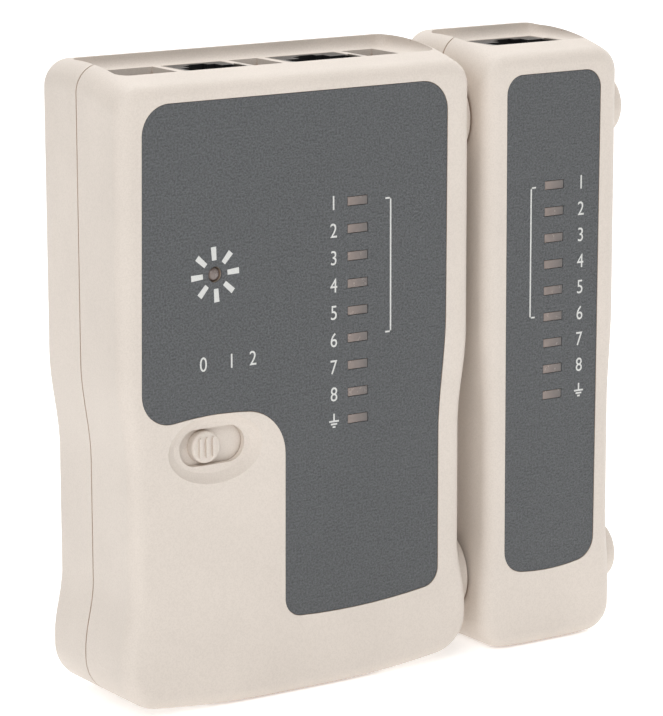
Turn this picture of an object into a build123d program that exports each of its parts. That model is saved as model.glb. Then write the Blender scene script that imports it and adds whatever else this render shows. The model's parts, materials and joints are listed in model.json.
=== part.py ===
"""Two-piece network cable tester: a master unit with two jacks, a switch and a
9 V battery, and a separate remote unit that stands beside it.

Millimetres. +X runs across the front, +Y goes from the front face to the back,
+Z is up.  The origin is on the surface that the units stand on, under the
middle of the pair.  "behind" always means the distance behind the front face.
"""
import os

from build123d import *

os.makedirs("parts", exist_ok=True)

# ---------------------------------------------------------------- driving sizes
height = 107.1            # floor to the crest of the crowned top
depth = 25.5              # front face to back face, both units
master_width = 68.7
remote_width = 28.3
unit_gap = 3.2            # air between the two units
wall = 2.2                # wall of all four shells
seam_behind = 13.7        # parting line of the shells
seam_groove = 0.3         # width and depth of the line round the case

crest_behind = 18.0       # where the crowned top is highest
crown_radius = 54.6
top_corner = 4.5          # front-view radius of the top corners
front_edge = 2.5          # rounding round the front face
back_edge = 2.0           # rounding round the back face

waist_top = 58.7          # the sides tuck in below this height
waist_upper = 41.7
waist_lower = 21.7
flare_end = 9.5           # and are back at full width here
master_waist = 1.65
remote_waist = 0.7
master_rest, master_rise, master_foot = 5.0, 2.4, 7.0
remote_rest, remote_rise, remote_foot = 4.0, 1.0, 5.0

tray_depth = 2.3          # sunk floor round the jack windows, below the crest
master_tray, remote_tray = 3.4, 2.6   # from the case side to the tray wall
tray_front = 5.5          # behind the front face
tray_back = 21.6
tray_corner = 1.5         # rounding of the tray wall into its floor
window_front = 6.2        # jack windows, front and back edge
window_back = 19.8
panel_thick = 1.2         # tray floor and the ribs between the windows
panel_lap = 0.4           # how far the panel runs on into the skin
gasket_thick = 0.8        # dark sheet under the tray floor
gasket_reach = 0.4        # past the windows at either side
gasket_gap = 0.15         # round each jack that passes through the sheet

peg_length = 2.9          # spacer discs on the right side of each unit
peg_heights = (12.9, 93.6)
master_peg_radius, master_peg_behind = 7.9, 12.3
remote_peg_radius, remote_peg_behind = 5.3, 8.3
peg_edge = 0.5

label_thickness = 0.3
label_recess = 0.36
label_clearance = 0.1

board_behind = 5.0        # front face of both circuit boards
board_thickness = 1.6

led_pitch = 4.6
led_rows = 9
led_width, led_height = 3.9, 1.4
led_play = 0.1            # between a lens and its window
led_flange = (4.6, 2.0)
led_sunk = 0.12           # lens face behind the front face
lead_radius = 0.25
lead_play = 0.05
lead_spread = 2.54
lead_tail = 1.2

screw_shank, screw_head, screw_head_thick = 1.2, 2.2, 1.4
screw_play = 0.05
screw_head_behind = 20.2  # underside of the case screw heads
screw_tip_behind = 5.0
board_screw_shank, board_screw_head, board_screw_head_thick = 0.9, 1.8, 1.1

battery_length, battery_height, battery_depth = 46.4, 26.5, 17.5
battery_floor = 4.6       # underside of the battery
battery_play = 0.15

cover_width, cover_top = 54.0, 33.4
cover_play = 0.15
cover_tongue, cover_tongue_thick = 1.2, 0.8
cover_foot = 0.8          # the cover ends this far above the floor

switch_travel = 4.0
slot_length, slot_height = 12.5, 6.2
knob_width, knob_height = 5.4, 5.3

# ---------------------------------------------------------------- derived places
pair_width = master_width + unit_gap + remote_width + peg_length
master_x = -pair_width / 2 + master_width / 2
remote_x = pair_width / 2 - peg_length - remote_width / 2
tray_floor = height - tray_depth
board_back = board_behind + board_thickness
back_inner = depth - wall

led_column = {"master": master_x + 10.95, "remote": remote_x + 0.05}
led_top = {"master": height - 24.4, "remote": height - 25.45}
power_led_at = (master_x - 16.85, height - 33.95)

switch_x = master_x - 16.45          # knob at the middle of its travel
switch_z = 44.6
slot_x = master_x - 17.1

jack_sunk = 0.0
jack_top = tray_floor - jack_sunk
jack_length = 15.0                   # down into the case
jack_cavity = 13.0
shield_thick = 0.25
jack_depth = window_back - 0.1 - shield_thick - board_back
window_play = 0.1
jack_wall = 0.65
plug_front = 1.6                     # cavity behind the jack's front wall
plug_depth = 6.8
rj45_plug, rj11_plug = 11.9, 9.7
rj45_window = rj45_plug + 2 * (jack_wall + shield_thick + window_play)
rj11_window = rj11_plug + 2 * (jack_wall + shield_thick + window_play)
divider = 1.5

# windows in the master's top, left edge and width, seen from the front
pocket_left = (-27.0, 10.6)
rj11_left = pocket_left[0] + pocket_left[1] + divider
middle_pocket = (rj11_left + rj11_window + divider, 5.7)
rj45_left = middle_pocket[0] + middle_pocket[1] + divider
pocket_right = (rj45_left + rj45_window + divider, 6.4)
master_windows = [pocket_left, (rj11_left, rj11_window), middle_pocket,
                  (rj45_left, rj45_window), pocket_right]
remote_jack_left = -4.7
remote_windows = [(remote_jack_left, rj45_window + 0.3)]
rj11_x = master_x + rj11_left + rj11_window / 2
rj45_x = master_x + rj45_left + rj45_window / 2
remote_jack_x = remote_x + remote_jack_left + rj45_window / 2

# places of the screws: (x, z) from the middle of each unit
master_case_places = [(-28.6, 88.0), (28.6, 88.0), (-27.0, 37.4), (27.0, 37.4)]
remote_case_places = [(-7.6, 86.0), (7.6, 86.0), (0.0, 15.0)]
master_board_places = [(-21.6, 96.6), (21.6, 96.6), (-3.0, 40.4), (21.6, 40.4)]
remote_board_places = [(-7.0, 58.0), (7.0, 34.0)]
master_board_size = (-23.6, 23.6, 37.6, 100.6)
remote_board_size = (-10.2, 10.2, 22.0, 100.6)
case_boss = 3.0
case_back_boss = 3.3
board_boss = 2.1


def facing(x, behind):
    """Plane parallel to the front face; its normal points at the viewer."""
    return Plane(origin=(x, behind - depth / 2, 0), x_dir=(1, 0, 0), z_dir=(0, -1, 0))


def lying(x, behind, z):
    """Level plane; local x runs across, local y goes back."""
    return Plane(origin=(x, behind - depth / 2, z))


def save(builder, label):
    """Name a finished piece and write its STEP file."""
    builder.part.label = label
    export_step(builder.part, f"parts/{label}.step")


# ---------------------------------------------------------------- case geometry
def case_outline(unit, inset):
    """Front view of a case: straight top, tucked waist, slightly convex foot."""
    width, waist, rest, rise, foot = unit[:5]
    half = width / 2 - inset
    over = height + 5
    with BuildSketch() as outline:
        with BuildLine():
            Line((0, over), (half, over))
            Line((half, over), (half, waist_top))
            Spline((half, waist_top), (half - waist, waist_upper),
                   tangents=[(0, -1), (0, -1)])
            Line((half - waist, waist_upper), (half - waist, waist_lower))
            Spline((half - waist, waist_lower), (half, flare_end),
                   tangents=[(0, -1), (0, -1)])
            side = Line((half, flare_end), (half, rise + inset))
            TangentArc((rest, inset), side @ 1, tangent=(1, 0))
            Line((rest, inset), (0, inset))
            mirror(about=Plane.YZ)
        make_face()
        corners = outline.vertices().filter_by(
            lambda v: abs(abs(v.X) - half) < 0.01 and abs(v.Y - rise - inset) < 0.01)
        fillet(corners, min(foot, flare_end - rise) - inset)
    return outline.sketch


def case_block(x, unit, inset=0.0, rounded=True):
    """A whole case as one solid, its skin moved inwards by inset."""
    half = unit[0] / 2 - inset
    with BuildPart() as block:
        with BuildSketch(facing(x, depth - inset)):
            add(case_outline(unit, inset))
        extrude(amount=depth - 2 * inset)
        with BuildSketch(Plane.YZ.offset(x - half - 5)):
            with BuildLine():
                centre = (crest_behind - depth / 2, height - crown_radius)
                arc = CenterArc(centre, crown_radius - inset, 60, 60)
                Polyline(arc @ 0, (arc @ 0) + (0, 20), (arc @ 1) + (0, 20), arc @ 1)
            make_face()
        extrude(amount=2 * half + 10, mode=Mode.SUBTRACT)
        shoulders = block.edges().filter_by(
            lambda e: abs(abs(e.center().X - x) - half) < 0.01
            and e.center().Z > height - 12 and e.length > depth / 2)
        fillet(shoulders, top_corner - inset)
        if rounded:
            fillet(block.faces().sort_by(Axis.Y)[0].edges(), front_edge - inset)
            fillet(block.faces().sort_by(Axis.Y)[-1].edges(), back_edge - inset)
    return block.part


def depth_slab(x, start, end):
    """Everything of a unit between two distances behind the front face."""
    with BuildPart() as slab:
        with BuildSketch(facing(x, start)):
            with Locations((0, height / 2)):
                Rectangle(2 * master_width, 2 * height)
        extrude(amount=start - end)
    return slab.part


def peg_pair(x, unit, peg):
    """The two spacer discs on the right side of a unit."""
    peg_radius, peg_behind = peg
    with BuildPart() as discs:
        with BuildSketch(Plane.YZ.offset(x + unit[0] / 2 - wall)):
            with Locations(*[(peg_behind - depth / 2, z) for z in peg_heights]):
                Circle(peg_radius)
        extrude(amount=wall + peg_length)
        fillet(discs.faces().group_by(Axis.X)[-1].edges(), peg_edge)
    return discs.part


def tray_cutter(x, unit):
    """What is scooped out of the top, with its walls rounded into the floor."""
    across = unit[0] - 2 * unit[5]
    with BuildPart() as scoop:
        with BuildSketch(lying(x, (tray_front + tray_back) / 2, tray_floor)):
            RectangleRounded(across, tray_back - tray_front, 2.0)
        extrude(amount=12)
        fillet(scoop.faces().sort_by(Axis.Z)[0].edges(), tray_corner)
    return scoop.part


def case_skin(x, unit, windows, peg):
    """Closed hollow case with its tray, jack windows, dividers and pegs."""
    blank = case_block(x, unit)
    discs = peg_pair(x, unit, peg)
    scoop = tray_cutter(x, unit)
    cavity = case_block(x, unit, wall, rounded=False)
    with BuildPart() as skin:
        add(blank)
        add(discs)
        add(cavity, mode=Mode.SUBTRACT)
        with BuildSketch(facing(x, tray_back + panel_lap)):
            with Locations((0, tray_floor + panel_lap)):
                Rectangle(unit[0] - 2 * unit[5], panel_thick + panel_lap,
                          align=(Align.CENTER, Align.MAX))
        extrude(amount=tray_back + panel_lap - tray_front)
        add(scoop, mode=Mode.SUBTRACT)
        for start, width in windows:
            with BuildSketch(lying(x, window_front, height)):
                with Locations((start, 0)):
                    Rectangle(width, window_back - window_front,
                              align=(Align.MIN, Align.MIN))
            extrude(amount=-(height - tray_floor + panel_thick + panel_lap),
                    mode=Mode.SUBTRACT)
    return skin.part


master_unit = (master_width, master_waist, master_rest, master_rise, master_foot,
               master_tray)
remote_unit = (remote_width, remote_waist, remote_rest, remote_rise, remote_foot,
               remote_tray)
master_skin = case_skin(master_x, master_unit, master_windows,
                        (master_peg_radius, master_peg_behind))
remote_skin = case_skin(remote_x, remote_unit, remote_windows,
                        (remote_peg_radius, remote_peg_behind))


# ---------------------------------------------------------------- label outlines
def master_label_outline(grow):
    """L-shaped panel: full width above, beside the switch below."""
    left, right, top = -30.1 - grow, 29.1 + grow, height - 5.65 + grow
    stem, shelf, foot = -3.6 - grow, 49.2 - grow, 13.5 - grow
    hip_x = 27.4 + grow
    with BuildSketch() as panel:
        with BuildLine():
            roof = Line((left, top), (right, top))
            tuck = Line(roof @ 1, (right - 0.2, 62.0))
            hip = Spline(tuck @ 1, (hip_x, 41.0), tangents=[(0, -1), (0, -1)])
            thigh = Line(hip @ 1, (hip_x, foot + 1.4))
            sole = ThreePointArc(thigh @ 1, (14.5, foot), (stem, foot + 0.3))
            shin = Line(sole @ 1, (stem + 0.2, shelf - 0.6))
            brow = ThreePointArc(shin @ 1, (-17.5, shelf + 0.9), (left - 0.8, shelf - 0.9))
            Line(brow @ 1, roof @ 0)
        make_face()
        fillet(panel.vertices().filter_by(lambda v: v.Y > top - 0.1), 5.0 + grow)
        fillet(panel.vertices().filter_by(lambda v: v.Y < foot + 2), 3.2 + grow)
        fillet(panel.vertices().filter_by(
            lambda v: abs(v.X - stem) < 0.5 and abs(v.Y - shelf) < 2), 8.0 - grow)
        fillet(panel.vertices().filter_by(lambda v: v.X < left - 0.5), 5.2 + grow)
    return panel.sketch


def remote_label_outline(grow):
    """Tall panel with rounded corners and a slightly convex foot."""
    left, right, top = -10.1 - grow, 9.8 + grow, height - 6.1 + grow
    foot = 13.6 - grow
    with BuildSketch() as panel:
        with BuildLine():
            roof = Line((left, top), (right, top))
            flank = Line(roof @ 1, (right - 0.4, foot + 1.4))
            sole = ThreePointArc(flank @ 1, (-0.4, foot), (left + 0.2, foot + 1.0))
            Line(sole @ 1, roof @ 0)
        make_face()
        fillet(panel.vertices().filter_by(lambda v: v.Y > top - 0.1), 3.2 + grow)
        fillet(panel.vertices().filter_by(lambda v: v.Y < foot + 2), 4.0 + grow)
    return panel.sketch


def led_windows(x, top, play):
    """One slot for each indicator lens, in a column."""
    with BuildSketch() as slots:
        with Locations(*[(x, top - led_pitch * row) for row in range(led_rows)]):
            Rectangle(led_width + 2 * play, led_height + 2 * play)
    return slots.sketch


power_led_radius = 1.2
power_window = power_led_radius + 0.1


master_label_face = master_label_outline(0)
master_recess_face = master_label_outline(label_clearance)
remote_label_face = remote_label_outline(0)
remote_recess_face = remote_label_outline(label_clearance)
master_slots = led_windows(led_column["master"], led_top["master"], led_play)
remote_slots = led_windows(led_column["remote"], led_top["remote"], led_play)

with BuildSketch() as master_openings:
    add(master_slots)
    with Locations(power_led_at):
        Circle(power_window)


def label_sheet(x, outline, slots):
    """A printed sheet in its recess, with a slot for each lens."""
    with BuildPart() as sheet:
        with BuildSketch(facing(x, label_recess)):
            add(outline)
        extrude(amount=label_thickness)
        with BuildSketch(facing(0, label_recess)):
            add(slots)
        extrude(amount=label_thickness, mode=Mode.SUBTRACT)
    return sheet


master_label = label_sheet(master_x, master_label_face, master_openings.sketch)
save(master_label, "master_label")

remote_label = label_sheet(remote_x, remote_label_face, remote_slots)
save(remote_label, "remote_label")


# ---------------------------------------------------------------- front shells
def posts(x, places, radius, start, end):
    """Round posts, or the holes for them, from one depth to another."""
    with BuildPart() as row:
        with BuildSketch(facing(x, end)):
            with Locations(*places):
                Circle(radius)
        extrude(amount=end - start)
    return row.part


def front_half(x, unit, skin):
    """The part of a case ahead of the seam, stepped along the seam line."""
    ahead = depth_slab(x, -5, seam_behind)
    band = depth_slab(x, seam_behind - seam_groove, seam_behind)
    blank = case_block(x, unit)
    core = case_block(x, unit, seam_groove, rounded=False)
    with BuildPart() as rim:
        add(blank)
        add(band, mode=Mode.INTERSECT)
        add(core, mode=Mode.SUBTRACT)
    with BuildPart() as half:
        add(skin)
        add(ahead, mode=Mode.INTERSECT)
        add(rim.part, mode=Mode.SUBTRACT)
    return half.part


def back_half(x, skin):
    """The part of a case behind the seam."""
    rear = depth_slab(x, seam_behind, depth + 5)
    with BuildPart() as half:
        add(skin)
        add(rear, mode=Mode.INTERSECT)
    return half.part


master_front_half = front_half(master_x, master_unit, master_skin)
remote_front_half = front_half(remote_x, remote_unit, remote_skin)
master_back_half = back_half(master_x, master_skin)
remote_back_half = back_half(remote_x, remote_skin)


dish_at = (slot_x, switch_z - 0.3)
dish_rings = [(-0.3, 18.4, 12.0), (0.45, 17.2, 10.8), (1.15, 14.6, 8.4)]
slider_length = slot_length + switch_travel + 0.6
slider_height = slot_height + 0.9
slider_behind = wall + 0.1
slider_thick = 1.0

with BuildPart() as master_front_shell:
    add(master_front_half)
    add(posts(master_x, master_case_places, case_boss, wall - 0.2, seam_behind))
    add(posts(master_x, master_case_places, screw_shank + screw_play,
              screw_tip_behind - 0.4, seam_behind), mode=Mode.SUBTRACT)
    add(posts(master_x, master_board_places, board_boss, wall - 0.2, board_behind))
    add(posts(master_x, master_board_places, board_screw_shank + screw_play,
              wall, board_behind), mode=Mode.SUBTRACT)
    # shelf over the battery and two pads that keep it off the front wall
    with BuildSketch(facing(master_x, wall - 0.2)):
        with Locations((0, battery_floor + battery_height + battery_play + 0.6)):
            Rectangle(40, 1.2)
        with Locations((-15, battery_floor + battery_height / 2),
                       (15, battery_floor + battery_height / 2)):
            Rectangle(2, 16)
    extrude(amount=wall - 0.2 - (back_inner - battery_depth - 2 * battery_play))
    with BuildSketch(facing(master_x, label_recess)):
        add(master_recess_face)
    extrude(amount=label_recess + 1, mode=Mode.SUBTRACT)
    with BuildSketch(facing(0, wall + 1)):
        add(master_openings.sketch)
    extrude(amount=wall + 1, mode=Mode.SUBTRACT)
    # thumb dish with the switch slot at its bottom
    for ring_behind, ring_width, ring_height in dish_rings:
        with BuildSketch(facing(0, ring_behind)):
            with Locations(dish_at):
                Ellipse(ring_width / 2, ring_height / 2)
    loft(mode=Mode.SUBTRACT)
    with BuildSketch(facing(0, wall + 1)):
        with Locations((slot_x, switch_z)):
            SlotOverall(slot_length, slot_height)
    extrude(amount=wall + 1, mode=Mode.SUBTRACT)
save(master_front_shell, "master_front_shell")

with BuildPart() as remote_front_shell:
    add(remote_front_half)
    add(posts(remote_x, remote_case_places, case_boss, wall - 0.2, seam_behind))
    add(posts(remote_x, remote_case_places, screw_shank + screw_play,
              screw_tip_behind - 0.4, seam_behind), mode=Mode.SUBTRACT)
    add(posts(remote_x, remote_board_places, board_boss, wall - 0.2, board_behind))
    add(posts(remote_x, remote_board_places, board_screw_shank + screw_play,
              wall, board_behind), mode=Mode.SUBTRACT)
    with BuildSketch(facing(remote_x, label_recess)):
        add(remote_recess_face)
    extrude(amount=label_recess + 1, mode=Mode.SUBTRACT)
    with BuildSketch(facing(0, wall + 1)):
        add(remote_slots)
    extrude(amount=wall + 1, mode=Mode.SUBTRACT)
save(remote_front_shell, "remote_front_shell")


# ---------------------------------------------------------------- back shells
tongue_behind = back_inner + 0.75     # front of the cover's tongues


def cover_slot(width, top, start, end):
    """Upright slab of the cover's opening between two depths."""
    with BuildPart() as slab:
        with BuildSketch(facing(master_x, end)):
            with Locations((0, top)):
                Rectangle(width, top + 5, align=(Align.CENTER, Align.MAX))
        extrude(amount=end - start)
    return slab.part


with BuildPart() as master_back_shell:
    add(master_back_half)
    add(posts(master_x, master_case_places, case_back_boss, seam_behind, depth - wall / 2))
    add(posts(master_x, master_case_places, screw_shank + 2 * screw_play,
              seam_behind, depth), mode=Mode.SUBTRACT)
    add(posts(master_x, master_case_places, screw_head + 0.2,
              screw_head_behind, depth + 1), mode=Mode.SUBTRACT)
    add(cover_slot(cover_width + 2 * cover_play, cover_top + cover_play,
                   back_inner, depth + 1), mode=Mode.SUBTRACT)
    add(cover_slot(cover_width + 2 * (cover_tongue + cover_play), cover_top + cover_play,
                   tongue_behind - 0.1, tongue_behind + cover_tongue_thick + 0.1),
        mode=Mode.SUBTRACT)
save(master_back_shell, "master_back_shell")

with BuildPart() as remote_back_shell:
    add(remote_back_half)
    add(posts(remote_x, remote_case_places, case_back_boss, seam_behind, depth - wall / 2))
    add(posts(remote_x, remote_case_places, screw_shank + 2 * screw_play,
              seam_behind, depth), mode=Mode.SUBTRACT)
    add(posts(remote_x, remote_case_places, screw_head + 0.2,
              screw_head_behind, depth + 1), mode=Mode.SUBTRACT)
save(remote_back_shell, "remote_back_shell")

# ---------------------------------------------------------------- battery cover
grip_lines = 5
grip_pitch = 1.6
grip_width = 16.0

cover_blank = case_block(master_x, master_unit)

with BuildPart() as battery_cover:
    add(cover_slot(cover_width, cover_top, back_inner, depth + 1))
    add(cover_slot(cover_width + 2 * cover_tongue, cover_top,
                   tongue_behind, tongue_behind + cover_tongue_thick))
    add(cover_blank, mode=Mode.INTERSECT)
    with BuildSketch(facing(master_x, back_inner - 1)):
        with Locations((0, cover_foot)):
            Rectangle(2 * cover_width, 20, align=(Align.CENTER, Align.MAX))
    extrude(amount=-(wall + 3), mode=Mode.SUBTRACT)
    with BuildSketch(facing(master_x, depth - 0.5)):
        with Locations(*[(0, cover_top - 6 - grip_pitch * line)
                         for line in range(grip_lines)]):
            SlotOverall(grip_width, 0.8)
    extrude(amount=-2, mode=Mode.SUBTRACT)
save(battery_cover, "battery_cover")


# ---------------------------------------------------------------- screws
def screw_group(x, places, shank, head, head_thick, seat, tip):
    """Pan-head screws whose heads bear at seat and whose ends are at tip."""
    with BuildPart() as screws:
        with BuildSketch(facing(x, seat + head_thick)):
            with Locations(*places):
                Circle(head)
        extrude(amount=head_thick)
        rims = screws.edges().filter_by(GeomType.CIRCLE).group_by(Axis.Y)[-1]
        fillet(rims, head_thick * 0.55)
        with BuildSketch(facing(x, seat)):
            with Locations(*places):
                Circle(shank)
        extrude(amount=seat - tip)
        for angle in (0, 90):
            with BuildSketch(facing(x, seat + head_thick)):
                with Locations(*places):
                    Rectangle(head * 1.25, head * 0.24, rotation=angle)
            extrude(amount=head_thick * 0.5, mode=Mode.SUBTRACT)
    return screws


for unit_name, unit_x, case_places, board_places in (
        ("master", master_x, master_case_places, master_board_places),
        ("remote", remote_x, remote_case_places, remote_board_places)):
    case_screws = screw_group(unit_x, case_places, screw_shank, screw_head,
                              screw_head_thick, screw_head_behind, screw_tip_behind)
    save(case_screws, f"{unit_name}_case_screws")
    board_screws = screw_group(unit_x, board_places, board_screw_shank,
                               board_screw_head, board_screw_head_thick,
                               board_back, wall + 0.3)
    save(board_screws, f"{unit_name}_board_screws")

# ---------------------------------------------------------------- circuit boards
actuator_width, actuator_height = 2.4, 1.8
actuator_play = 0.3


def lead_holes(x, top, rows):
    """Cutters for the legs of a column of indicators."""
    spots = [(x + side * lead_spread / 2, top - led_pitch * row)
             for row in range(rows) for side in (-1, 1)]
    return posts(0, spots, lead_radius + lead_play, board_behind, board_back)


def board_blank(x, size):
    """Rectangular board with slightly rounded corners."""
    left, right, low, high = size
    with BuildPart() as board:
        with BuildSketch(facing(x, board_back)):
            with Locations(((left + right) / 2, (low + high) / 2)):
                RectangleRounded(right - left, high - low, 1.0)
        extrude(amount=board_thickness)
    return board.part


with BuildPart() as master_circuit_board:
    add(board_blank(master_x, master_board_size))
    add(posts(master_x, master_board_places, board_screw_shank + 0.1,
              board_behind, board_back), mode=Mode.SUBTRACT)
    add(lead_holes(led_column["master"], led_top["master"], led_rows), mode=Mode.SUBTRACT)
    add(lead_holes(power_led_at[0], power_led_at[1], 1), mode=Mode.SUBTRACT)
    with BuildSketch(facing(switch_x, board_back)):
        with Locations((0, switch_z)):
            Rectangle(actuator_width + switch_travel + 2 * actuator_play,
                      actuator_height + 2 * actuator_play)
    extrude(amount=board_thickness, mode=Mode.SUBTRACT)
save(master_circuit_board, "master_circuit_board")

with BuildPart() as remote_circuit_board:
    add(board_blank(remote_x, remote_board_size))
    add(posts(remote_x, remote_board_places, board_screw_shank + 0.1,
              board_behind, board_back), mode=Mode.SUBTRACT)
    add(lead_holes(led_column["remote"], led_top["remote"], led_rows), mode=Mode.SUBTRACT)
    add(posts(remote_x, remote_case_places[:2], case_boss + 0.3,
              board_behind, board_back), mode=Mode.SUBTRACT)
save(remote_circuit_board, "remote_circuit_board")


# ---------------------------------------------------------------- indicators
def indicator(x, z):
    """Flat-topped lens with a wider foot and two legs through the board."""
    with BuildPart() as led:
        with BuildSketch(facing(x, board_behind)):
            with Locations((0, z)):
                Rectangle(*led_flange)
        extrude(amount=board_behind - wall - 0.4)
        with BuildSketch(facing(x, board_behind)):
            with Locations((0, z)):
                Rectangle(led_width, led_height)
        extrude(amount=board_behind - led_sunk)
        with BuildSketch(facing(x, board_behind)):
            with Locations((-lead_spread / 2, z), (lead_spread / 2, z)):
                Circle(lead_radius)
        extrude(amount=-(board_thickness + lead_tail))
    return led


for unit_name in ("master", "remote"):
    for row in range(led_rows):
        mark = "g" if row == led_rows - 1 else str(row + 1)
        led = indicator(led_column[unit_name], led_top[unit_name] - led_pitch * row)
        save(led, f"{unit_name}_led_{mark}")

with BuildPart() as power_led:
    with BuildSketch(facing(power_led_at[0], board_behind)):
        with Locations((0, power_led_at[1])):
            Circle(power_led_radius + 0.3)
    extrude(amount=1.0)
    with BuildSketch(facing(power_led_at[0], board_behind)):
        with Locations((0, power_led_at[1])):
            Circle(power_led_radius)
    extrude(amount=board_behind - led_sunk)
    dome = power_led.faces().sort_by(Axis.Y)[0].edges()
    fillet(dome, power_led_radius * 0.8)
    with BuildSketch(facing(power_led_at[0], board_behind)):
        with Locations((-lead_spread / 2, power_led_at[1]),
                       (lead_spread / 2, power_led_at[1])):
            Circle(lead_radius)
    extrude(amount=-(board_thickness + lead_tail))
save(power_led, "power_led")

# ---------------------------------------------------------------- slide switch
knob_x = switch_x - switch_travel / 2
knob_face = 0.55
knob_rib = 0.4

with BuildPart() as switch_knob:
    with BuildSketch(facing(slot_x - switch_travel / 2, slider_behind + slider_thick)):
        with Locations((0, switch_z)):
            RectangleRounded(slider_length, slider_height, 2.0)
    extrude(amount=slider_thick)
    with BuildSketch(facing(knob_x, slider_behind)):
        with Locations((0, switch_z)):
            Ellipse(knob_width / 2, knob_height / 2)
    extrude(amount=slider_behind - knob_face)
    crown_rim = switch_knob.faces().sort_by(Axis.Y)[0].edges()
    fillet(crown_rim, 0.5)
    with BuildSketch(facing(knob_x, knob_face)):
        with Locations((0, switch_z), (-1.25, switch_z), (1.25, switch_z)):
            SlotOverall(3.4, 0.55, rotation=90)
    extrude(amount=knob_rib)
    with BuildSketch(facing(knob_x, slider_behind + slider_thick)):
        with Locations((0, switch_z)):
            Rectangle(actuator_width + 0.04, actuator_height + 0.04)
    extrude(amount=slider_thick * 0.6, mode=Mode.SUBTRACT)
save(switch_knob, "switch_knob")

switch_body = (14.0, 6.6, 4.6)        # across, up, back
switch_floor = 0.7

with BuildPart() as switch_actuator:
    nub_front = slider_behind + slider_thick * 0.4
    nub_back = board_back + 2.6
    with BuildSketch(facing(knob_x, nub_back)):
        with Locations((0, switch_z)):
            Rectangle(actuator_width, actuator_height)
    extrude(amount=nub_back - nub_front)
    with BuildSketch(facing(knob_x, nub_back)):
        with Locations((0, switch_z)):
            Rectangle(5.2, 3.8)
    extrude(amount=1.4)
save(switch_actuator, "switch_actuator")

with BuildPart() as switch_housing:
    with BuildSketch(facing(switch_x, board_back)):
        with Locations((0, switch_z)):
            Rectangle(switch_body[0], switch_body[1])
    extrude(amount=-switch_body[2])
    with BuildSketch(facing(switch_x, board_back)):
        with Locations((0, switch_z)):
            Rectangle(5.2 + switch_travel + 0.6, 4.2)
    extrude(amount=-(switch_body[2] - switch_floor), mode=Mode.SUBTRACT)
    pins = [(-3.0, switch_z - 2.7), (0.0, switch_z - 2.7), (3.0, switch_z - 2.7)]
    with BuildSketch(facing(switch_x, board_back + switch_body[2])):
        with Locations(*pins):
            Rectangle(0.6, 0.5)
    extrude(amount=-1.4)
save(switch_housing, "switch_housing")


# ---------------------------------------------------------------- jacks
def jack_housing(x, plug_width):
    """Moulded jack body, open at the top, with a stepped latch channel."""
    width = plug_width + 2 * jack_wall
    with BuildPart() as housing:
        with BuildSketch(lying(x, board_back, jack_top)):
            Rectangle(width, jack_depth, align=(Align.CENTER, Align.MIN))
        extrude(amount=-jack_length)
        with BuildSketch(lying(x, board_back + plug_front, jack_top)):
            Rectangle(plug_width, plug_depth, align=(Align.CENTER, Align.MIN))
            with Locations((0, plug_depth)):
                Rectangle(6.2, 2.2, align=(Align.CENTER, Align.MIN))
            with Locations((0, plug_depth + 2.2)):
                Rectangle(3.4, 1.2, align=(Align.CENTER, Align.MIN))
        extrude(amount=-jack_cavity, mode=Mode.SUBTRACT)
    return housing


def jack_shield(x, plug_width):
    """Folded sheet round the sides and back of a jack, with a lip on its top."""
    width = plug_width + 2 * jack_wall
    with BuildPart() as shield:
        with BuildSketch(lying(x, board_back, jack_top)):
            Rectangle(width + 2 * shield_thick, jack_depth + shield_thick,
                      align=(Align.CENTER, Align.MIN))
            Rectangle(width, jack_depth, align=(Align.CENTER, Align.MIN),
                      mode=Mode.SUBTRACT)
        extrude(amount=-jack_length)
        with BuildSketch(lying(x + plug_width / 2 + 0.1, board_back + 2.6, jack_top)):
            Rectangle(jack_wall + shield_thick - 0.1, 5.0, align=(Align.MIN, Align.MIN))
        extrude(amount=shield_thick)
    return shield


def port_gasket(x, windows, jacks):
    """Sheet that closes the tray floor from below, round the jacks."""
    left = windows[0][0] - gasket_reach
    right = windows[-1][0] + windows[-1][1] + gasket_reach
    middle = (left + right) / 2
    top = tray_floor - panel_thick
    with BuildPart() as sheet:
        with BuildSketch(lying(x + middle, window_front + 0.3, top)):
            Rectangle(right - left, window_back + divider - window_front - 0.4,
                      align=(Align.CENTER, Align.MIN))
        extrude(amount=-gasket_thick)
        for jack_x, plug_width in jacks:
            width = plug_width + 2 * (jack_wall + shield_thick + gasket_gap)
            with BuildSketch(lying(jack_x, board_back - gasket_gap, top)):
                Rectangle(width, jack_depth + shield_thick + 2 * gasket_gap,
                          align=(Align.CENTER, Align.MIN))
            extrude(amount=-gasket_thick, mode=Mode.SUBTRACT)
    return sheet


save(port_gasket(master_x, master_windows, [(rj11_x, rj11_plug), (rj45_x, rj45_plug)]),
     "master_port_gasket")
save(port_gasket(remote_x, remote_windows, [(remote_jack_x, rj45_plug)]),
     "remote_port_gasket")

contact_thick, contact_wide, contact_pitch = 0.35, 0.5, 1.02


def jack_contacts(x, count):
    """Spring wires that lean into the plug cavity from its front wall."""
    root = board_back + plug_front - depth / 2
    z = jack_top - 1.5
    lean = [(root, z), (root + contact_thick, z), (root + 0.6, z - 1.4),
            (root + 2.4, z - 7.5), (root + 2.0, z - 7.8), (root, z - 1.6)]
    with BuildPart() as wires:
        for index in range(count):
            left = x + (index - (count - 1) / 2) * contact_pitch - contact_wide / 2
            with BuildSketch(Plane.YZ.offset(left)):
                with BuildLine():
                    Polyline(*lean, close=True)
                make_face()
            extrude(amount=contact_wide)
    return wires


for jack, jack_x, plug, wires in (("master_rj45", rj45_x, rj45_plug, 8),
                                  ("master_rj11", rj11_x, rj11_plug, 6),
                                  ("remote_rj45", remote_jack_x, rj45_plug, 8)):
    save(jack_housing(jack_x, plug), f"{jack}_housing")
    save(jack_shield(jack_x, plug), f"{jack}_shield")
    save(jack_contacts(jack_x, wires), f"{jack}_contacts")


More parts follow.
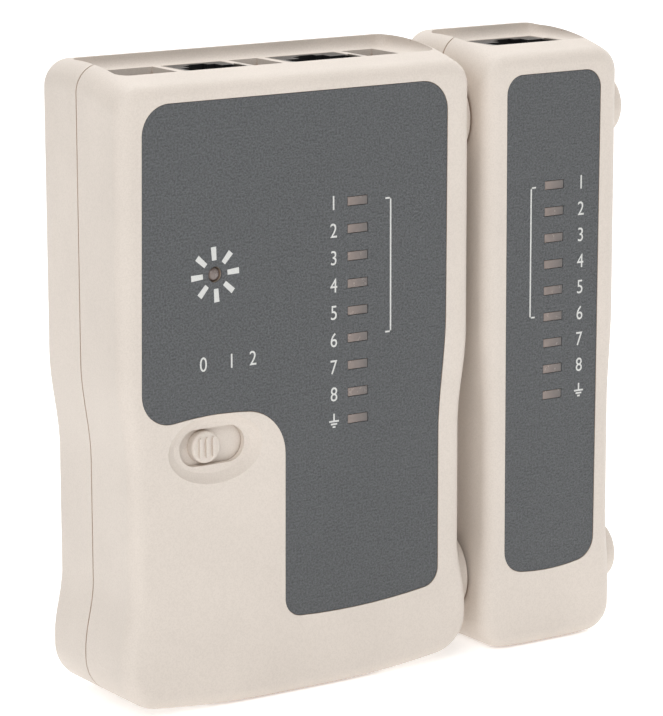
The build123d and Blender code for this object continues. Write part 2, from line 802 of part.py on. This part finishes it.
# ---------------------------------------------------------------- board parts
def dip_chip(x, z, legs):
    """Dual in-line package, its long side upright, standing on its legs."""
    pitch, row, body_wide, body_thick, lift = 2.54, 7.62, 6.3, 3.3, 0.4
    tall = legs / 2 * pitch - 0.6
    heights = [z + (index - (legs / 2 - 1) / 2) * pitch for index in range(legs // 2)]
    reach = (row - body_wide) / 2 + 0.15
    with BuildPart() as chip:
        with BuildSketch(facing(x, board_back + lift)):
            with Locations((0, z)):
                Rectangle(body_wide, tall)
            with Locations((0, z + tall / 2)):
                Circle(0.7, mode=Mode.SUBTRACT)
        extrude(amount=-body_thick)
        with BuildSketch(facing(x, board_back)):
            with Locations(*[(side * row / 2, leg) for leg in heights for side in (-1, 1)]):
                Rectangle(0.3, 0.6)
        extrude(amount=-(lift + body_thick / 2))
        with BuildSketch(facing(x, board_back + lift + body_thick / 2 - 0.3)):
            with Locations(*[(side * (row + 0.3 - reach) / 2, leg)
                             for leg in heights for side in (-1, 1)]):
                Rectangle(reach, 0.6)
        extrude(amount=-0.3)
    return chip


save(dip_chip(master_x - 13.0, 60.0, 8), "timer_chip")
save(dip_chip(master_x + 0.5, 64.0, 16), "counter_chip")

resistor_radius, resistor_length = 0.95, 5.4


def axial_parts(columns, heights, radius, length):
    """Small axial parts lying across the board on their bent legs."""
    middle = board_back + radius - depth / 2
    with BuildPart() as group:
        for x in columns:
            with BuildSketch(Plane.YZ.offset(x - length / 2)):
                with Locations(*[(middle, z) for z in heights]):
                    Circle(radius)
            extrude(amount=length)
            with BuildSketch(Plane.YZ.offset(x - length / 2 - 1.4)):
                with Locations(*[(middle, z) for z in heights]):
                    Circle(lead_radius)
            extrude(amount=length + 2.8)
            with BuildSketch(facing(x, board_back)):
                with Locations(*[(side * (length / 2 + 1.15), z)
                                 for z in heights for side in (-1, 1)]):
                    Circle(lead_radius)
            extrude(amount=-radius)
    return group


save(axial_parts([master_x + 18.6], [84 - 5 * step for step in range(7)],
                 resistor_radius, resistor_length), "master_resistors")
save(axial_parts([remote_x - 5.8, remote_x + 5.8], [78 - 5 * step for step in range(3)],
                 0.85, 3.4), "remote_diodes")

with BuildPart() as electrolytic_capacitor:
    with BuildSketch(facing(master_x - 12.0, board_back)):
        with Locations((0, 83.0)):
            Circle(2.5)
    extrude(amount=-7.0)
    fillet(electrolytic_capacitor.faces().sort_by(Axis.Y)[-1].edges(), 0.4)
save(electrolytic_capacitor, "electrolytic_capacitor")

# ---------------------------------------------------------------- battery
battery_right = master_x + 24.4
battery_middle_z = battery_floor + battery_height / 2
battery_front = back_inner - battery_play - battery_depth
battery_centre_behind = battery_front + battery_depth / 2
stud_spread = 12.7
snap_thick = 2.6
stud_height = 2.2

with BuildPart() as battery_case:
    with BuildSketch(Plane.YZ.offset(battery_right - battery_length)):
        with Locations((battery_centre_behind - depth / 2, battery_middle_z)):
            RectangleRounded(battery_depth, battery_height, 2.2)
    extrude(amount=battery_length)
save(battery_case, "battery_case")

stud_places = [(battery_centre_behind - depth / 2, battery_middle_z + side * stud_spread / 2)
               for side in (-1, 1)]
stud_x = battery_right - battery_length

with BuildPart() as battery_terminals:
    for place, stud in zip(stud_places, (2.75, 4.0)):
        with BuildSketch(Plane.YZ.offset(stud_x)):
            with Locations(place):
                Circle(stud)
        extrude(amount=-stud_height)
save(battery_terminals, "battery_terminals")

with BuildPart() as battery_snap:
    with BuildSketch(Plane.YZ.offset(stud_x - stud_height)):
        with Locations((battery_centre_behind - depth / 2, battery_middle_z)):
            SlotOverall(25.0, 12.0, rotation=90)
    extrude(amount=-snap_thick)
save(battery_snap, "battery_snap")

snap_back = stud_x - stud_height - snap_thick
wire_radius = 0.65
wire_lane = battery_floor + battery_height + 1.6     # runs over the battery
solder_z = 39.2
solder_y = board_back - depth / 2


def battery_lead(x_out, y_lane, z_exit, x_rise, x_solder):
    """Wire from the snap, up its end, over the battery and on to the board."""
    start = Vector(snap_back, y_lane, z_exit)
    corners = [(x_out, y_lane, z_exit), (x_out, y_lane, wire_lane),
               (x_rise, y_lane, wire_lane + 0.1), (x_solder, y_lane - 0.8, solder_z),
               (x_solder, solder_y, solder_z + 0.1)]
    with BuildPart() as lead:
        with BuildLine() as route:
            FilletPolyline(start, *corners, radius=[1.3, 2.2, 2.4, 2.0])
        with BuildSketch(Plane(origin=start, z_dir=(-1, 0, 0))):
            Circle(wire_radius)
        sweep(path=route.wires()[0])
    return lead


save(battery_lead(snap_back - 1.8, battery_centre_behind - 2.2 - depth / 2, 25.0,
                  master_x - 22.0, master_x - 20.4), "battery_lead_red")
save(battery_lead(snap_back - 1.8, battery_centre_behind + 2.2 - depth / 2, 25.0,
                  master_x - 19.6, master_x - 17.6), "battery_lead_black")
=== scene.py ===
"""Looks for the two-piece network cable tester.

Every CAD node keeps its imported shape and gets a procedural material.  The
printed marks on the two labels are thin raised meshes that ride on their unit.
Metres throughout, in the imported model's frame.
"""
import json
import math

import bpy
from mathutils import Matrix, Vector


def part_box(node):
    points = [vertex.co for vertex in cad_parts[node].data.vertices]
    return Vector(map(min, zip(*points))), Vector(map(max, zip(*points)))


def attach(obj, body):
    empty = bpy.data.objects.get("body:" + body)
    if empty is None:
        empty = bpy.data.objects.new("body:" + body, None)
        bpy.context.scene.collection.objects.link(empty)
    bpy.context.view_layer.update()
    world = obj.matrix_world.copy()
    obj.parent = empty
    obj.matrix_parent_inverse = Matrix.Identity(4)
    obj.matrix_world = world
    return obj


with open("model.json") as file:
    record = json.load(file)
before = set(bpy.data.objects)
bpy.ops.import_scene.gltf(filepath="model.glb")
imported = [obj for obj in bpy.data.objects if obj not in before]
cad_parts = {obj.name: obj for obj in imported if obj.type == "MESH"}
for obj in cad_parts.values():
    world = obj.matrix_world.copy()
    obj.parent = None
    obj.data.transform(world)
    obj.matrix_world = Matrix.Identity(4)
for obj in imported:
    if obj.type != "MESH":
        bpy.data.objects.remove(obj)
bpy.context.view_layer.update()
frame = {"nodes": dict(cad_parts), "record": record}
MM = 0.001


# ------------------------------------------------------------------ materials
class Shader:
    """A small helper that wires nodes into one material."""

    def __init__(self, name):
        self.material = bpy.data.materials.new(name)
        self.material.use_nodes = True
        self.tree = self.material.node_tree
        self.tree.nodes.clear()
        self.out = self.node("ShaderNodeOutputMaterial")
        self.bsdf = self.node("ShaderNodeBsdfPrincipled")
        self.link(self.bsdf.outputs["BSDF"], self.out.inputs["Surface"])
        self.coord = self.node("ShaderNodeTexCoord").outputs["Object"]

    def node(self, kind, **settings):
        made = self.tree.nodes.new(kind)
        for key, value in settings.items():
            setattr(made, key, value)
        return made

    def link(self, a, b):
        self.tree.links.new(a, b)

    def noise(self, scale, detail=4.0, rough=0.55, stretch=None):
        made = self.node("ShaderNodeTexNoise")
        made.inputs["Scale"].default_value = scale
        made.inputs["Detail"].default_value = detail
        made.inputs["Roughness"].default_value = rough
        source = self.coord
        if stretch:
            mapping = self.node("ShaderNodeMapping")
            mapping.inputs["Scale"].default_value = stretch
            self.link(source, mapping.inputs["Vector"])
            source = mapping.outputs["Vector"]
        self.link(source, made.inputs["Vector"])
        return made.outputs["Fac"]

    def cells(self, scale, feature="F1"):
        made = self.node("ShaderNodeTexVoronoi", feature=feature)
        made.inputs["Scale"].default_value = scale
        self.link(self.coord, made.inputs["Vector"])
        return made.outputs["Distance"]

    def ramp(self, source, stops):
        made = self.node("ShaderNodeValToRGB")
        band = made.color_ramp
        while len(band.elements) < len(stops):
            band.elements.new(0.5)
        for element, (place, colour) in zip(band.elements, stops):
            element.position = place
            element.color = (*colour, 1.0)
        self.link(source, made.inputs["Fac"])
        return made.outputs["Color"]

    def mix(self, factor, a, b, blend="MIX"):
        made = self.node("ShaderNodeMix", data_type="RGBA", blend_type=blend)
        for socket, value in ((made.inputs[0], factor), (made.inputs[6], a), (made.inputs[7], b)):
            if isinstance(value, bpy.types.NodeSocket):
                self.link(value, socket)
            elif isinstance(value, (int, float)):
                socket.default_value = value
            else:
                socket.default_value = (*value, 1.0)
        return made.outputs[2]

    def spread(self, source, low, high, a=0.3, b=0.7):
        made = self.node("ShaderNodeMapRange")
        made.inputs["From Min"].default_value = a
        made.inputs["From Max"].default_value = b
        made.inputs["To Min"].default_value = low
        made.inputs["To Max"].default_value = high
        self.link(source, made.inputs["Value"])
        return made.outputs["Result"]

    def bump(self, source, strength, distance, under=None):
        made = self.node("ShaderNodeBump")
        made.inputs["Strength"].default_value = strength
        made.inputs["Distance"].default_value = distance
        self.link(source, made.inputs["Height"])
        if under is not None:
            self.link(under, made.inputs["Normal"])
        return made.outputs["Normal"]

    def painted_crevice_shade(self, colour, dark, reach):
        """Painted shade: darkens grooves narrower than the reach, where shade falls."""
        made = self.node("ShaderNodeAmbientOcclusion", samples=8)
        made.inputs["Distance"].default_value = reach
        shade = self.ramp(made.outputs["AO"], [(0.15, dark), (0.62, (1.0, 1.0, 1.0))])
        return self.mix(1.0, colour, shade, "MULTIPLY")

    def finish(self, colour=None, rough=None, normal=None, **values):
        if colour is not None:
            self.link(colour, self.bsdf.inputs["Base Color"])
        if rough is not None:
            self.link(rough, self.bsdf.inputs["Roughness"])
        if normal is not None:
            self.link(normal, self.bsdf.inputs["Normal"])
        for key, value in values.items():
            self.bsdf.inputs[key.replace("_", " ")].default_value = value
        return self.material


def scaled(colour, factor):
    return tuple(c * factor for c in colour)


def moulded(name, colour, rough=0.55, grain=1.0, cloud=0.03, scale=4200.0, **more):
    """Fine spark-eroded plastic: soft clouding, small speckle, tiny grain, painted shade in
    grooves.
    """
    s = Shader(name)
    clouds = s.noise(60.0, 3.0)
    specks = s.noise(scale, 2.0)
    base = s.ramp(clouds, [(0.3, scaled(colour, 1 - cloud)), (0.7, scaled(colour, 1 + cloud))])
    tint = s.ramp(specks, [(0.35, (0.93, 0.925, 0.92)), (0.6, (1.0, 1.0, 1.0))])
    both = s.mix(1.0, base, tint, "MULTIPLY")
    # painted shade: a brown-dark tint multiplied into grooves and seams through ambient occlusion
    both = s.painted_crevice_shade(both, (0.58, 0.40, 0.27), 0.0006)
    fine = s.bump(specks, 0.22 * grain, 0.00006)
    coarse = s.bump(s.noise(900.0, 2.0), 0.10 * grain, 0.00008, fine)
    return s.finish(both, s.spread(specks, rough - 0.05, rough + 0.07), coarse, **more)


def leathery(name, colour):
    """Textured printed sheet with small rounded grains."""
    s = Shader(name)
    grain = s.noise(3000.0, 2.0, 0.5)
    pebbles = s.cells(1700.0)
    clouds = s.noise(45.0, 2.0)
    base = s.ramp(grain, [(0.36, scaled(colour, 0.70)), (0.50, colour),
                          (0.64, scaled(colour, 1.30))])
    shade = s.ramp(clouds, [(0.3, (0.97, 0.97, 0.97)), (0.7, (1.0, 1.0, 1.0))])
    both = s.mix(1.0, base, shade, "MULTIPLY")
    first = s.bump(grain, 1.0, 0.00035)
    second = s.bump(pebbles, 0.60, 0.00010, first)
    return s.finish(both, s.spread(grain, 0.42, 0.60), second, Specular_IOR_Level=0.45)


def metal(name, colour, rough=0.3, stretch=(1.0, 1.0, 14.0), scratch=0.2):
    """Brushed or plated metal with faint directional scratches."""
    s = Shader(name)
    lines = s.noise(1500.0, 5.0, 0.6, stretch)
    stains = s.noise(140.0, 4.0)
    base = s.ramp(stains, [(0.3, scaled(colour, 0.86)), (0.7, colour)])
    return s.finish(base, s.spread(lines, rough - 0.08, rough + 0.12),
                    s.bump(lines, scratch, 0.00003), Metallic=1.0)


def smoked(name, colour, painted_shade_colour):
    """Cloudy brown lens with painted shade: it fades darker towards its right."""
    s = Shader(name)
    haze = s.noise(700.0, 3.0)
    across = s.node("ShaderNodeSeparateXYZ")
    s.link(s.node("ShaderNodeTexCoord").outputs["Generated"], across.inputs["Vector"])
    # painted shade: the lens colour darkens across the window towards its right
    tint = s.ramp(across.outputs["X"], [(0.05, colour), (0.95, painted_shade_colour)])
    veil = s.ramp(haze, [(0.3, (0.82, 0.82, 0.82)), (0.7, (1.0, 1.0, 1.0))])
    base = s.mix(1.0, tint, veil, "MULTIPLY")
    return s.finish(base, s.spread(haze, 0.16, 0.30), s.bump(haze, 0.08, 0.00005),
                    Transmission_Weight=0.15, Coat_Weight=0.3)


def printed(name, colour):
    """Screen-printed ink with slightly uneven cover."""
    s = Shader(name)
    cover = s.noise(5200.0, 3.0)
    base = s.ramp(cover, [(0.3, scaled(colour, 0.86)), (0.55, colour)])
    return s.finish(base, s.spread(cover, 0.45, 0.62), s.bump(cover, 0.15, 0.00002))


def laminate(name, colour):
    """Green solder mask over glass cloth."""
    s = Shader(name)
    weave = s.node("ShaderNodeTexChecker")
    weave.inputs["Scale"].default_value = 1600.0
    weave.inputs["Color1"].default_value = (*scaled(colour, 0.82), 1.0)
    weave.inputs["Color2"].default_value = (*colour, 1.0)
    s.link(s.coord, weave.inputs["Vector"])
    clouds = s.noise(120.0, 3.0)
    both = s.mix(s.spread(clouds, 0.2, 0.7), weave.outputs["Color"], scaled(colour, 0.9))
    return s.finish(both, s.spread(clouds, 0.28, 0.42), s.bump(clouds, 0.1, 0.00005))


def banded(name, colour, band_colours, pitch, axis):
    """Lacquered axial part with coloured rings."""
    s = Shader(name)
    wave = s.node("ShaderNodeTexWave", bands_direction=axis)
    wave.inputs["Scale"].default_value = pitch
    wave.inputs["Distortion"].default_value = 0.0
    s.link(s.coord, wave.inputs["Vector"])
    lacquer = s.noise(900.0, 3.0)
    base = s.ramp(lacquer, [(0.3, scaled(colour, 0.85)), (0.7, colour)])
    rings = s.ramp(wave.outputs["Fac"], [(0.0, band_colours[0]), (1.0, band_colours[1])])
    mask = s.spread(wave.outputs["Fac"], 0.0, 1.0, 0.80, 0.86)
    return s.finish(s.mix(mask, base, rings), s.spread(lacquer, 0.25, 0.4),
                    s.bump(lacquer, 0.1, 0.00004))


cream = (0.690, 0.620, 0.555)
grey = (0.091, 0.095, 0.099)
materials = {
    "case": moulded("case_cream", cream),
    "knob": moulded("knob_cream", scaled(cream, 0.98), rough=0.45, grain=0.5),
    "label": leathery("label_grey", grey),
    "lens": smoked("lens_smoked", (0.300, 0.235, 0.205), (0.150, 0.130, 0.122)),
    "jack_plastic": moulded("jack_black", (0.012, 0.012, 0.013), rough=0.32, grain=0.6, cloud=0.1),
    "shield": metal("shield_tinned", (0.50, 0.45, 0.40), rough=0.35),
    # painted shade: the gasket's near-black colour stands in for the shade of the deep void below
    # the jack panel
    "gasket": moulded("gasket_painted_shade", (0.030, 0.020, 0.015), rough=0.8, grain=2.0, cloud=0.2),
    "contact": metal("contact_gold", (0.90, 0.62, 0.25), rough=0.22, scratch=0.1),
    "board": laminate("board_green", (0.03, 0.14, 0.05)),
    "chip": moulded("chip_epoxy", (0.015, 0.015, 0.016), rough=0.6, grain=1.2, cloud=0.1),
    "screw": metal("screw_zinc", (0.62, 0.62, 0.64), rough=0.34),
    "battery": moulded("battery_jacket", (0.03, 0.032, 0.038), rough=0.3, grain=0.4, cloud=0.08),
    "terminal": metal("terminal_nickel", (0.72, 0.70, 0.66), rough=0.25),
    "snap": moulded("snap_vinyl", (0.014, 0.014, 0.014), rough=0.4, grain=0.8, cloud=0.1),
    "wire_red": moulded("wire_red", (0.42, 0.018, 0.014), rough=0.4, grain=0.5),
    "wire_black": moulded("wire_black", (0.014, 0.014, 0.015), rough=0.4, grain=0.5),
    "axial_part": banded("axial_lacquer", (0.52, 0.36, 0.19),
                         ((0.25, 0.03, 0.02), (0.02, 0.02, 0.02)), 160.0, "X"),
    "capacitor": moulded("capacitor_sleeve", (0.02, 0.028, 0.10), rough=0.28, grain=0.3, cloud=0.1),
    "switch": metal("switch_steel", (0.60, 0.59, 0.57), rough=0.38),
}
ink = printed("ink_pale", (0.66, 0.66, 0.64))

slot_of = {s["node"]: s["material_slot"] for s in frame["record"]["subparts"]}
for name, node in frame["nodes"].items():
    node.data.materials.clear()
    node.data.materials.append(materials[slot_of[name]])


# ------------------------------------------------------------------ printing
def place_of(node):
    low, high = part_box(node)
    return (low + high) / 2


master_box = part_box("master_label")
ink_back = master_box[0].y          # front face of the labels
ink_thick = 0.02 * MM
digit_height = 2.5 * MM
digit_narrowing = 0.88              # the typeface is wider than the printed digits
earth_size = 2.3 * MM
capital_share = 0.729               # height of a digit over the typeface's size
line_width = 0.28 * MM              # of the brackets
switch_marks_z = 58.6 * MM


def add_piece(name, verts, faces, body, material):
    mesh = bpy.data.meshes.new(name)
    mesh.from_pydata(verts, [], faces)
    mesh.validate()
    mesh.update()
    mesh.materials.append(material)
    piece = bpy.data.objects.new(name, mesh)
    bpy.context.scene.collection.objects.link(piece)
    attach(piece, body)
    return piece


def slab(outline):
    """Prism of printed ink over a closed outline of (x, z) points."""
    n = len(outline)
    verts = [(x, ink_back, z) for x, z in outline]
    verts += [(x, ink_back - ink_thick, z) for x, z in outline]
    faces = [tuple(range(n, 2 * n)), tuple(reversed(range(n)))]
    faces += [(i, (i + 1) % n, n + (i + 1) % n, n + i) for i in range(n)]
    return verts, faces


def joined(prisms):
    verts, faces = [], []
    for v, f in prisms:
        start = len(verts)
        verts += v
        faces += [tuple(i + start for i in face) for face in f]
    return verts, faces


def bar(x0, z0, x1, z1):
    return slab([(x0, z0), (x1, z0), (x1, z1), (x0, z1)])


def bracket(x, tick_x, top, bottom, width):
    """A square bracket: an upright line with a tick at each end."""
    side = math.copysign(width, tick_x - x)
    low_x, high_x = sorted((x, x + side))
    tick = sorted((x, tick_x))
    return joined([bar(low_x, bottom, high_x, top),
                   bar(tick[0], top - width, tick[1], top),
                   bar(tick[0], bottom, tick[1], bottom + width)])


def sunburst(x, z, inner, outer, width, turn):
    rays = []
    for k in range(8):
        a = turn + k * math.pi / 4
        along, across = (math.cos(a), math.sin(a)), (-math.sin(a), math.cos(a))
        corners = [(inner, -0.42), (outer, -0.5), (outer, 0.5), (inner, 0.42)]
        rays.append(slab([(x + r * along[0] + w * width * across[0],
                           z + r * along[1] + w * width * across[1]) for r, w in corners]))
    return joined(rays)


def earth(x, z, size):
    """The plain earth sign: a stem over three bars that get shorter."""
    t = 0.13 * size
    rows = [bar(x - t / 2, z, x + t / 2, z + size / 2)]
    for step, half in enumerate((0.42, 0.27, 0.12)):
        top = z - step * 0.21 * size
        rows.append(bar(x - half * size, top - t, x + half * size, top))
    return joined(rows)


def numeral(name, text, x, z, height, body):
    """A digit of printed ink, its middle at (x, z)."""
    curve = bpy.data.curves.new(name, "FONT")
    curve.body = text
    curve.size = height / capital_share
    curve.extrude = ink_thick / 2
    curve.resolution_u = 6
    maker = bpy.data.objects.new(name + "_maker", curve)
    bpy.context.scene.collection.objects.link(maker)
    bpy.context.view_layer.update()
    mesh = bpy.data.meshes.new_from_object(maker.evaluated_get(
        bpy.context.evaluated_depsgraph_get()))
    bpy.data.objects.remove(maker)
    xs = [v.co.x for v in mesh.vertices]
    ys = [v.co.y for v in mesh.vertices]
    middle = Vector(((min(xs) + max(xs)) / 2, (min(ys) + max(ys)) / 2, 0))
    upright = Matrix(((digit_narrowing, 0, 0), (0, 0, -1), (0, 1, 0))).to_4x4()
    mesh.transform(Matrix.Translation((x, ink_back - ink_thick / 2, z))
                   @ upright @ Matrix.Translation(-middle))
    mesh.name = name
    mesh.materials.clear()
    mesh.materials.append(ink)
    piece = bpy.data.objects.new(name, mesh)
    bpy.context.scene.collection.objects.link(piece)
    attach(piece, body)
    return piece


units = {}
for unit in ("master", "remote"):
    leds = [place_of(f"{unit}_led_{mark}") for mark in [*"12345678", "g"]]
    units[unit] = leds

master_x = units["master"][0].x - 10.95 * MM
remote_x = units["remote"][0].x - 0.05 * MM
digit_x = {"master": master_x + 6.15 * MM, "remote": remote_x + 5.85 * MM}
for unit, leds in units.items():
    for index, led in enumerate(leds[:8]):
        numeral(f"{unit}_digit_{index + 1}", str(index + 1), digit_x[unit], led.z,
                digit_height, unit)
    verts, faces = earth(digit_x[unit], leds[8].z + 0.15 * MM, earth_size)
    add_piece(f"{unit}_earth_mark", verts, faces, unit, ink)

verts, faces = bracket(master_x + 17.7 * MM, master_x + 16.5 * MM,
                       units["master"][0].z, units["master"][5].z + 0.1 * MM, line_width)
add_piece("master_bracket", verts, faces, "master", ink)
verts, faces = bracket(remote_x - 5.05 * MM, remote_x - 3.9 * MM,
                       units["remote"][0].z, units["remote"][5].z + 0.1 * MM, line_width)
add_piece("remote_bracket", verts, faces, "remote", ink)

lamp = place_of("power_led")
verts, faces = sunburst(lamp.x, lamp.z, 2.35 * MM, 4.55 * MM, 1.0 * MM, math.radians(3.5))
add_piece("master_sunburst", verts, faces, "master", ink)

for mark, dx in (("0", -19.25), ("1", -13.85), ("2", -9.75)):
    numeral(f"switch_mark_{mark}", mark, master_x + dx * MM, switch_marks_z,
            digit_height, "master")


# ------------------------------------------------------------------ studio
def stage_floor():
    """Pale sweep that curves up behind the object."""
    mesh = bpy.data.meshes.new("floor_sweep")
    profile = [(-1.6, 0.0), (0.9, 0.0)]
    for k in range(1, 13):
        a = k / 12 * math.pi / 2
        profile.append((0.9 + 0.5 * math.sin(a), 0.5 - 0.5 * math.cos(a)))
    profile.append((1.4, 2.2))
    turn = math.radians(-33.75)
    verts = []
    for d, z in profile:
        for side in (-2.6, 2.6):
            verts.append((side * math.cos(turn) - d * math.sin(turn),
                          side * math.sin(turn) + d * math.cos(turn), z))
    faces = [(2 * i, 2 * i + 1, 2 * i + 3, 2 * i + 2) for i in range(len(profile) - 1)]
    mesh.from_pydata(verts, [], faces)
    for face in mesh.polygons:
        face.use_smooth = True
    s = Shader("floor_paper")
    fibres = s.noise(400.0, 3.0)
    colour = s.ramp(fibres, [(0.3, (0.86, 0.86, 0.86)), (0.7, (0.90, 0.90, 0.90))])
    mesh.materials.append(s.finish(colour, s.spread(fibres, 0.6, 0.75),
                                   Emission_Color=(1.0, 1.0, 1.0, 1.0), Emission_Strength=0.45))
    floor = bpy.data.objects.new("floor_sweep", mesh)
    bpy.context.scene.collection.objects.link(floor)


def area_light(name, place, target, size, power, colour=(1.0, 1.0, 1.0)):
    data = bpy.data.lights.new(name, "AREA")
    data.shape = "RECTANGLE"
    data.size, data.size_y = size
    data.energy = power
    data.color = colour
    light = bpy.data.objects.new(name, data)
    light.location = place
    direction = Vector(target) - Vector(place)
    light.rotation_euler = direction.to_track_quat("-Z", "Y").to_euler()
    bpy.context.scene.collection.objects.link(light)


stage_floor()
area_light("key_soft", (-0.75, -0.75, 0.85), (0, 0, 0.05), (0.8, 0.8), 7.6)
area_light("fill_front", (0.5, -0.95, 0.30), (0, 0, 0.05), (0.9, 0.9), 0.9)
area_light("top_soft", (0.1, 0.2, 1.0), (0, 0, 0.05), (0.9, 0.9), 7.0)
area_light("side_right", (0.95, -0.1, 0.35), (0, 0, 0.05), (0.6, 0.8), 1.6)

world = bpy.data.worlds.new("studio")
world.use_nodes = True
world.node_tree.nodes["Background"].inputs["Color"].default_value = (1.0, 1.0, 1.0, 1.0)
world.node_tree.nodes["Background"].inputs["Strength"].default_value = 0.25
bpy.context.scene.world = world
bpy.context.scene.view_settings.view_transform = "Standard"

# ------------------------------------------------------------------ camera
yaw, pitch, roll = 0.589083602, 0.207170436, -0.00227362871
ahead = Vector((math.sin(yaw) * math.cos(pitch), math.cos(yaw) * math.cos(pitch),
                -math.sin(pitch)))
right = Vector((math.cos(yaw), -math.sin(yaw), 0.0))
up = right.cross(ahead)
tilted_right = math.cos(roll) * right + math.sin(roll) * up
tilted_up = math.cos(roll) * up - math.sin(roll) * right
camera_data = bpy.data.cameras.new("camera")
camera_data.sensor_width = 36.0
camera_data.lens = 3429.06452 / 716 * 36.0
camera_data.clip_start, camera_data.clip_end = 0.01, 20.0
camera = bpy.data.objects.new("camera", camera_data)
turned = Matrix((tilted_right, tilted_up, -ahead)).transposed().to_4x4()
camera.matrix_world = Matrix.Translation((-0.320627, -0.475256, 0.173670)) @ turned
bpy.context.scene.collection.objects.link(camera)
bpy.context.scene.camera = camera
